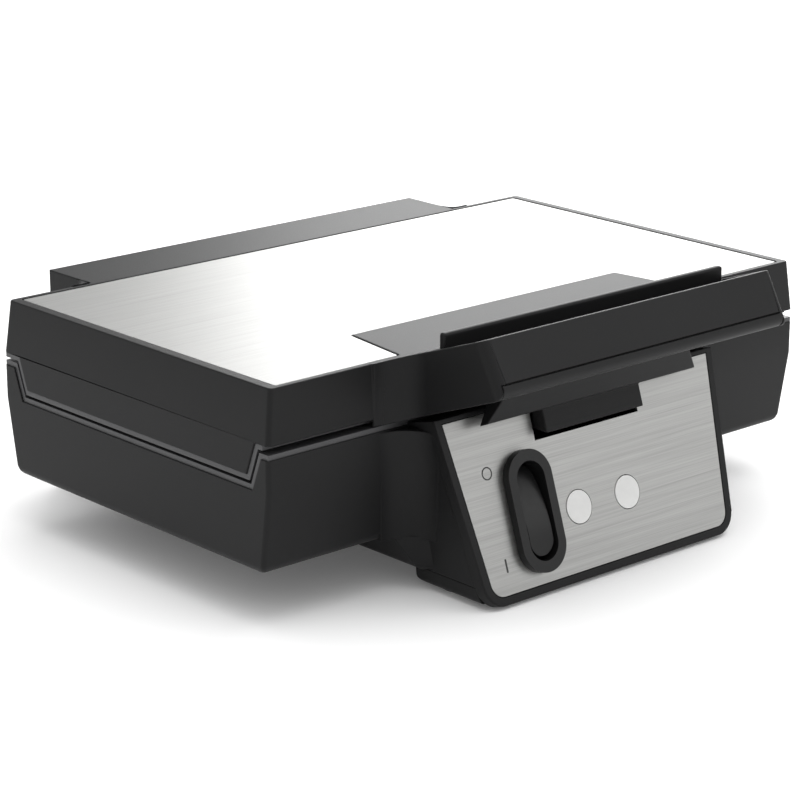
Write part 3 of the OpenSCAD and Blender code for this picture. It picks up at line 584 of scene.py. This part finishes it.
pair = joined("tray_screws", [screw("screw", at(x, cover_screw_y, 2.8), 0, 0.002, 0.009)
                              for x in (-cover_screw_x, cover_screw_x)])
polish(pair, "base", bright_zinc, replaces=["cover_screws"], slot="zinc_screw")


# ---------------------------------------------------------------- steel fascia
# A thin plate of brushed stainless steel, stuck in a shallow seat. It is punched for the switch, the two
# lights and the latch's tongue, and its grain runs from side to side.

brushed_steel, tree, place = finish_named("brushed_steel")


def stretched(tree, place, size):
    """The same coordinates, scaled along each axis, for grain that runs one way."""
    return node_in(tree, "ShaderNodeMapping", {}, {"Vector": place, "Scale": size})


lines = noise(tree, stretched(tree, place, (16, 2600, 2600)), 1.0, 4, 0.62)
bands = noise(tree, stretched(tree, place, (9, 480, 480)), 1.0, 3, 0.5)
surface(tree, Base_Color=tint(tree, 0.6 * lines + 0.4 * bands, (0.17, 0.17, 0.165), (0.50, 0.50, 0.49)),
        Metallic=1.0, Roughness=0.34 + 0.16 * bands,
        Normal=bump(tree, lines, 0.000010, 0.9))

fascia = to_panel(panel_sheet("steel_fascia", 0, -1, -0.1))
panel_openings(fascia, opening_gap)
clean(fascia)
soften(fascia, 0.00015, 2, angle=40)
polish(fascia, "base", brushed_steel, replaces=["fascia_plate"], slot="brushed_steel")


# ---------------------------------------------------------------- switch
# An oval collar with a rolled crest is clipped through the fascia, and carries a glossy rocker on a steel
# pin. The ring and the bar beside it are printed on the steel.

gloss_black, tree, place = finish_named("gloss_black")
haze = noise(tree, place, 500, 2)
surface(tree, Base_Color=(0.007, 0.007, 0.0072, 1), Roughness=0.3 + 0.1 * haze, Specular_IOR_Level=0.25,
        Normal=bump(tree, haze, 0.00001, 0.3))

collar_wide, collar_long, collar_rise = 22.4, 47.6, 3.4
well_wide, well_long = 14.4, 38.6
pivot = Vector((0, 0, -0.004))
collar = oval("switch_collar", collar_wide, collar_long, 0, collar_rise)
press(collar, oval("neck", neck_wide, neck_long, -9.6, 0.2))
press(collar, oval("well", well_wide, well_long, -11, 5), "DIFFERENCE")
clean(collar)
weigh(collar, lambda c, d: c.z > 0.0033, 1.0)
soften(collar, 0.00195, 8, marked=True)
press(collar, rod("pin_way", pivot, 0.00105, 0.03, "X", 32), "DIFFERENCE")
carried(collar, *switch_at)
polish(collar, "base", gloss_black, replaces=["switch_bezel"], slot="black_plastic", angle=40)

# the rocker: a long oval with a gently crowned face, pressed in at its upper end
paddle_wide, paddle_long, paddle_rise = 12, 36, 1.6
crown_z, crown_r = -0.0588, 0.0604
pressed = radians(9)
paddle = oval("rocker_paddle", paddle_wide, paddle_long, -6.8, paddle_rise)
press(paddle, rod("crown", Vector((0, 0, crown_z)), crown_r, 0.04, "X", 256), "INTERSECT")
clean(paddle, 0.1)
weigh(paddle, lambda c, d: c.z > -0.0055 and (abs(c.x) > 0.002 or abs(c.y) > 0.0172), 1.0)
soften(paddle, 0.0011, 5, marked=True)
press(paddle, rod("pin_way", pivot, 0.00106, 0.03, "X", 32), "DIFFERENCE")
choose(paddle, "VERT", lambda c, d: True)
bpy.ops.transform.rotate(value=pressed, orient_axis="X", center_override=pivot)
close()
carried(paddle, *switch_at)
polish(paddle, "switch", gloss_black, replaces=["rocker"], slot="black_plastic", angle=40)

ink, tree, place = finish_named("printed_ink")
dust = noise(tree, place, 3000, 2)
surface(tree, Base_Color=tint(tree, dust, (0.012, 0.012, 0.012), (0.03, 0.03, 0.03)), Roughness=0.6)
ring = rod("off_mark", Vector((0, 0, -0.00008)), 0.00255, 0.00008)
press(ring, rod("hole", Vector((0, 0, 0)), 0.00205, 0.002), "DIFFERENCE")
carried(ring, -55.4, 46.5)
polish(ring, "base", ink, slot="black_plastic")
bar = billet("on_mark", Vector((-0.0004, -0.0026, -0.00012)), Vector((0.0004, 0.0026, -0.00004)))
choose(bar, "EDGE", lambda c, d: abs(d.z) > 0.9)
bpy.ops.mesh.bevel(offset=0.0001, segments=2, affect="EDGES")
close()
carried(bar, -55.3, 10.95)
polish(bar, "base", ink, slot="black_plastic")


# ---------------------------------------------------------------- pilot lights
# Two flat discs of frosted polycarbonate, flanged behind the panel, with a lamp and its board behind them.
# Unlit, they are a cool pale grey.

frosted, tree, place = finish_named("frosted_lens")
cloud = noise(tree, place, 260, 3)
surface(tree, Base_Color=tint(tree, cloud, (0.62, 0.62, 0.61), (0.70, 0.70, 0.69)),
        Roughness=0.34 + 0.1 * cloud, Coat_Weight=0.3)
for name, node, (x, u) in (("power_window", "power_lens", lights_at[0]),
                           ("ready_window", "ready_lens", lights_at[1])):
    window = rod(name, Vector((0, 0, -0.0021)), lens_r / 1000, 0.0042)
    choose(window, "FACE", lambda c, n: n.z > 0.9)
    bpy.ops.mesh.inset(thickness=0.0004)
    bpy.ops.transform.translate(value=(0, 0, 0.00012))
    close()
    press(window, rod("flange", Vector((0, 0, -0.00355)), 0.0081, 0.0013))
    clean(window)
    carried(window, x, u)
    polish(window, "base", frosted, replaces=[node], slot="lens")


# ---------------------------------------------------------------- inner pieces and fittings
# What the checks already have in its true shape keeps it here and takes its finish: the cast plates in their
# non-stick coat, the elements, pins, springs and wiring, the ceramic terminals and the rubber feet.

cast_coat, tree, place = finish_named("cast_coat")
grit = noise(tree, place, 1800, 3)
bake = noise(tree, place, 30, 3)
surface(tree, Base_Color=tint(tree, bake, (0.036, 0.036, 0.038), (0.058, 0.058, 0.060)), Metallic=0.15,
        Roughness=0.36 + 0.18 * grit, Normal=bump(tree, grit, 0.00003, 0.8))

element_steel, tree, place = finish_named("element_steel")
temper = noise(tree, place, 60, 3)
surface(tree, Base_Color=tint(tree, temper, (0.10, 0.085, 0.07), (0.26, 0.24, 0.23)), Metallic=0.9,
        Roughness=0.35 + 0.25 * temper)

tinplate, tree, place = finish_named("tinplate")
spangle = node_in(tree, "ShaderNodeTexVoronoi", {}, {"Vector": place, "Scale": 260}, out=0)
surface(tree, Base_Color=tint(tree, spangle, (0.44, 0.45, 0.46), (0.60, 0.61, 0.62)), Metallic=1.0,
        Roughness=0.28 + 0.2 * spangle)

rubber, tree, place = finish_named("soft_rubber")
pores = noise(tree, place, 1500, 3)
surface(tree, Base_Color=tint(tree, pores, (0.018, 0.018, 0.018), (0.030, 0.030, 0.030)), Roughness=0.75,
        Specular_IOR_Level=0.3, Normal=bump(tree, pores, 0.00004, 0.8))

steatite, tree, place = finish_named("steatite")
chalk = noise(tree, place, 400, 3)
surface(tree, Base_Color=tint(tree, chalk, (0.60, 0.57, 0.50), (0.72, 0.69, 0.62)), Roughness=0.55,
        Normal=bump(tree, chalk, 0.00003, 0.5))

glass_sleeve, tree, place = finish_named("glass_sleeve")
braid = node_in(tree, "ShaderNodeTexWave", {"wave_type": "BANDS", "bands_direction": "DIAGONAL"},
                {"Vector": place, "Scale": 900}, out=1)
surface(tree, Base_Color=tint(tree, braid, (0.42, 0.38, 0.30), (0.66, 0.62, 0.53)), Roughness=0.7,
        Normal=bump(tree, braid, 0.0001, 0.8))

circuit, tree, place = finish_named("circuit_board")
weave = noise(tree, place, 700, 2)
surface(tree, Base_Color=tint(tree, weave, (0.015, 0.09, 0.03), (0.03, 0.14, 0.05)), Roughness=0.35)

neon, tree, place = finish_named("neon_glass")
glow = noise(tree, place, 300, 2)
surface(tree, Base_Color=tint(tree, glow, (0.70, 0.32, 0.14), (0.85, 0.45, 0.22)), Roughness=0.15)

for finish, pieces in {
        black_plastic: ("cord_gland", "switch_body"),
        cast_coat: ("lower_grid_plate", "upper_grid_plate"),
        bright_zinc: ("hinge_pins", "rocker_pin", "latch_pin", "lower_plate_screws", "upper_plate_screws"),
        element_steel: ("lower_heating_element", "upper_heating_element", "latch_spring"),
        tinplate: ("lower_reflector", "upper_reflector", "thermostat"),
        rubber: ("rubber_feet",),
        steatite: ("terminal_block", "thermal_fuse"),
        glass_sleeve: ("base_wiring", "lid_wiring"),
        circuit: ("lamp_board",),
        neon: ("pilot_lamps",)}.items():
    for name in pieces:
        if not nodes[name].data.materials:
            nodes[name].data.materials.append(finish)
        for part in nodes[name].material_slots:
            part.material = finish


# ---------------------------------------------------------------- lid
# The upper shell is moulded in one with the handle's arms and grip and with the barrel of the hinge. Its roof
# has a shallow seat for the steel sheet, and its lower edge follows the base's stepped rim.

lid_line, lid_top = 72.7, 94
lid = billet("lid_shell", at(-body_half, base_front, 59.6), at(body_half, -base_front, lid_top))
for side in (-1, 1):
    saw(lid, at(0, side * -base_front, lid_line), (0, side * 21.3, 1.3))
    saw(lid, at(side * body_half, 0, lid_line), (side * 21.3, 0, 2.5))
weigh(lid, lambda c, d: abs(c.x) > 0.138 and abs(c.y - middle) > 0.077 and abs(d.z) > 0.9, 0.6)
soften(lid, 0.003, 4, marked=True)
for foot, head, way in ((-75.9, -120, 1), (73.4, 120, -1)):
    corner = billet("corner", at(-160, min(foot, head), 46.5), at(160, max(foot, head), lid_line))
    shift(corner, lambda c: c.z < 0.05 and abs(c.y - at(0, foot, 0).y) < 0.001, (0, way * 0.010, 0))
    press(lid, corner, "DIFFERENCE")
inside = billet("lid_hollow", at(-140.1, -81.4, 50), at(140.1, 81.4, 90.4))
choose(inside, "VERT", lambda c, d: c.z > 0.08)
bpy.ops.transform.resize(value=(0.983, 0.983, 1), center_override=at(0, 0, 90))
close()
press(lid, inside, "DIFFERENCE")

# the barrel of the hinge, from below the rim up to the roof, with hollow fillets where it leaves the lid
barrel = billet("hinge_barrel", at(-rear_half, 85.5, hinge_z), at(rear_half, rear_back, lid_top))
press(barrel, rod("round", at(0, hinge_y, hinge_z), 0.013, 0.2006, "X", 128))
press(barrel, billet("bridge", at(-rear_half, 81, lid_line), at(rear_half, 90, lid_top)))
clean(barrel)
weigh(barrel, lambda c, d: c.z > 0.0935 and c.y > at(0, 111, 0).y, 1.0)
weigh(barrel, lambda c, d: abs(d.z) > 0.9 and c.y > at(0, 111, 0).y, 1.0)
soften(barrel, 0.003, 4, marked=True)
for side in (-1, 1):
    web = side_block("web", side, 99, 108.3, (81, lid_line), (91.8, 93.9))
    press(web, rod("scoop", at(side * 108.3, 91.8, 83), 0.008, 0.03, "Z", 96), "DIFFERENCE")
    press(barrel, web)
    knuckle_at = at(side * hinge_x, hinge_y, hinge_z)
    press(barrel, rod("knuckle_way", knuckle_at, 0.01827, 0.0092, "X", 96), "DIFFERENCE")
    press(barrel, rod("pin_way", knuckle_at, pin_bore, 0.026, "X"), "DIFFERENCE")
press(lid, barrel)

slope, under = radians(19.3), radians(20.3)
face_lean = radians(28.3)
side_wall = 2.2
grip_half, well_half = 78, 75.8
web_y, web_r = -97.8, 14
latch_y, latch_z, latch_bore = -105, 86, 0.00205


def grip_block(name, inset, half, rounded=True):
    """The solid of the handle between its three faces, or its hollow when inset."""
    made = billet(name, at(-half, -145, 58), at(half, -82.3 - (1.2 if inset else 0), 116))
    roof_out = Vector((0, sin(slope), cos(slope)))
    under_out = Vector((0, -sin(under), -cos(under)))
    front_out = Vector((0, -cos(face_lean), sin(face_lean)))
    step = inset / 1000
    saw(made, at(0, -82.5, lid_top) - roof_out * step, roof_out)
    saw(made, at(0, -135.18, 94.14) - front_out * step, front_out)
    if rounded:
        saw(made, at(0, -132.77, 87.79) - under_out * step, under_out)
    return made


def fillet_grip(piece, inset, ends):
    """Rounds the grip's upper and lower edges and its two ends."""
    front_line = at(0, -128, 0).y
    weigh(piece, lambda c, d: abs(d.x) > 0.9 and c.y < front_line and c.z > 0.1, 0.69)
    weigh(piece, lambda c, d: abs(d.x) > 0.9 and c.y < front_line and c.z < 0.1, 1.0)
    if ends:
        weigh(piece, lambda c, d: abs(d.x) < 0.5 and c.y < front_line, ends)
    soften(piece, 0.0052 * (1 - inset / 4.5), 8, marked=True)


grip = grip_block("grip", 0, grip_half + web_r)
for side in (-1, 1):
    beside = side_block("beside", side, grip_half, 110, (-160, 50), (web_y, 130))
    press(grip, beside, "DIFFERENCE")
    scoop = rod("scoop", at(side * (grip_half + web_r), web_y, 90), web_r / 1000, 0.09, "Z", 128)
    press(grip, scoop, "DIFFERENCE")
clean(grip)
fillet_grip(grip, 0, 0.75)
saw(grip, at(0, 0, 69.9), (0, 0, -1))
hollow = grip_block("hollow", side_wall, grip_half - side_wall, rounded=False)
press(grip, hollow, "DIFFERENCE")
press(grip, billet("mouth", at(-well_half, -160, 50), at(well_half, -83.5, 94.14)), "DIFFERENCE")
press(grip, billet("thumb_well", at(-well_half, -120.4, 80), at(well_half, -97.5, 130)), "DIFFERENCE")
press(grip, billet("well_floor", at(-75.9, -122.2, 92.7), at(75.9, -105.3, 94.5)))
press(grip, billet("well_wall", at(-75.9, -122.2, 92.8), at(75.9, -120.4, 105.6)))
press(grip, rod("pin_way", at(0, latch_y, latch_z), latch_bore, 0.1542, "X"), "DIFFERENCE")
press(lid, grip)


roof_x, roof_y = 135.3, 79.5
notch_back, notch_rear, notch_front = -47, 72, 76.6


def roof_sheet(name, grow, low, high):
    """The outline of the steel roof sheet, with the wide notch in its front edge."""
    made = billet(name, at(-roof_x - grow, -roof_y - grow, low), at(roof_x + grow, roof_y + grow, high))
    notch = billet("notch", at(-notch_front, -110, 80), at(notch_front, notch_back - grow, 110))
    choose(notch, "VERT", lambda c, d: c.y > at(0, -60, 0).y)
    bpy.ops.transform.resize(value=((notch_rear - grow) / notch_front, 1, 1),
                             center_override=at(0, notch_back, lid_top))
    close()
    shift(notch, lambda c: c.y < at(0, -100, 0).y, (0, 0.0305 - grow / 1000, 0))
    for side in (-1, 1):
        shift(notch, lambda c: c.y < at(0, -60, 0).y and c.x * side > 0, (-side * grow / 1000, 0, 0))
    choose(notch, "EDGE", lambda c, d: abs(d.z) > 0.9 and c.y > at(0, -60, 0).y)
    bpy.ops.mesh.bevel(offset=0.0012, segments=5, affect="EDGES")
    close()
    press(made, notch, "DIFFERENCE")
    choose(made, "EDGE", lambda c, d: abs(d.z) > 0.9 and (abs(c.x) > 0.13 or c.y < at(0, -79, 0).y))
    bpy.ops.mesh.bevel(offset=0.0008, segments=4, affect="EDGES")
    close()
    return made


press(lid, roof_sheet("seat", 0.5, 92.85, 99), "DIFFERENCE")
clean(lid)
soften(lid, 0.00045, 3, angle=35)
polish(lid, "lid", black_plastic, replaces=["lid_housing"], slot="black_plastic")

roof = roof_sheet("steel_roof", 0, 92.9, 93.8)
soften(roof, 0.00015, 2, angle=40)
polish(roof, "lid", brushed_steel, replaces=["lid_top_plate"], slot="brushed_steel")

# the grip's lower half is a separate moulding, screwed on from below
belly = grip_block("grip_belly", 0, 75.6)
fillet_grip(belly, 0, 0)
saw(belly, at(0, 0, 93.89), (0, 0, 1))
saw(belly, at(0, -112.1, 0), (0, 1, 0))
belly_hollow = grip_block("hollow", side_wall, 90)
fillet_grip(belly_hollow, side_wall, 0)
press(belly, belly_hollow, "DIFFERENCE")
grip_screws = []
grip_screw_x, y = 58, -126.67
for x in (-grip_screw_x, grip_screw_x):
    foot = at(x, y, 87.79 - (y + 132.77) * tan(under))
    seat = rod("seat", Vector((0, 0, -0.0004)), 0.0032, 0.0026)
    seat.rotation_euler, seat.location = (-under, 0, 0), foot
    settle(seat)
    press(belly, seat, "DIFFERENCE")
    grip_screws.append(screw("screw", foot + Vector((0, 0, 0.0002)), -under, 0.0007, 0.008))
clean(belly)
soften(belly, 0.0003, 2, angle=40)
polish(belly, "lid", black_plastic, replaces=["handle_lower_cover"], slot="black_plastic")
polish(joined("grip_screws", grip_screws), "lid", bright_zinc, replaces=["handle_screws"], slot="zinc_screw")


# ---------------------------------------------------------------- latch
# One moulding on a long pin inside the handle: a thumb fin above, an apron below, and a tongue that snaps
# into the slot of the fascia. Two leaf springs push it shut.

lever = billet("latch_fin", at(-75.2, -103.8, 84), at(75.2, -100.6, 106.8))
choose(lever, "EDGE", lambda c, d: c.z > 0.1067 or (abs(c.x) > 0.075 and abs(d.z) > 0.9))
bpy.ops.mesh.bevel(offset=0.0011, segments=4, affect="EDGES")
close()
press(lever, rod("hub", at(0, latch_y, latch_z), 0.0044, 0.1492, "X", 96))
apron = billet("apron", at(-50.5, -112, 78.7), at(50.5, -98, 86))
skirt = billet("skirt", at(-62, -112, 60), at(62, -98, 78.7))
for side in (-1, 1):
    saw(skirt, at(side * 50.5, 0, 78.7), (side * 13, 0, 8.5))
press(apron, skirt)
saw(apron, at(0, -109.5, 78.2), (0, -9, -2.3))
saw(apron, at(0, -104, 67.7), (0, 10, -1.8))
saw(apron, at(0, -107.2, 69.2), (0, -1.5, -3.2))
tongue = billet("tongue", at(-26.4, -130, 59.6), at(26.4, -99.9, 70.5))
saw(tongue, at(0, -126.2, 5.1), panel_out)
press(apron, tongue)
press(lever, apron)
press(lever, rod("pin_way", at(0, latch_y, latch_z), latch_bore, 0.2, "X"), "DIFFERENCE")
clean(lever)
soften(lever, 0.0004, 3, angle=35)
polish(lever, "latch", black_plastic, replaces=["latch_lever"], slot="black_plastic")
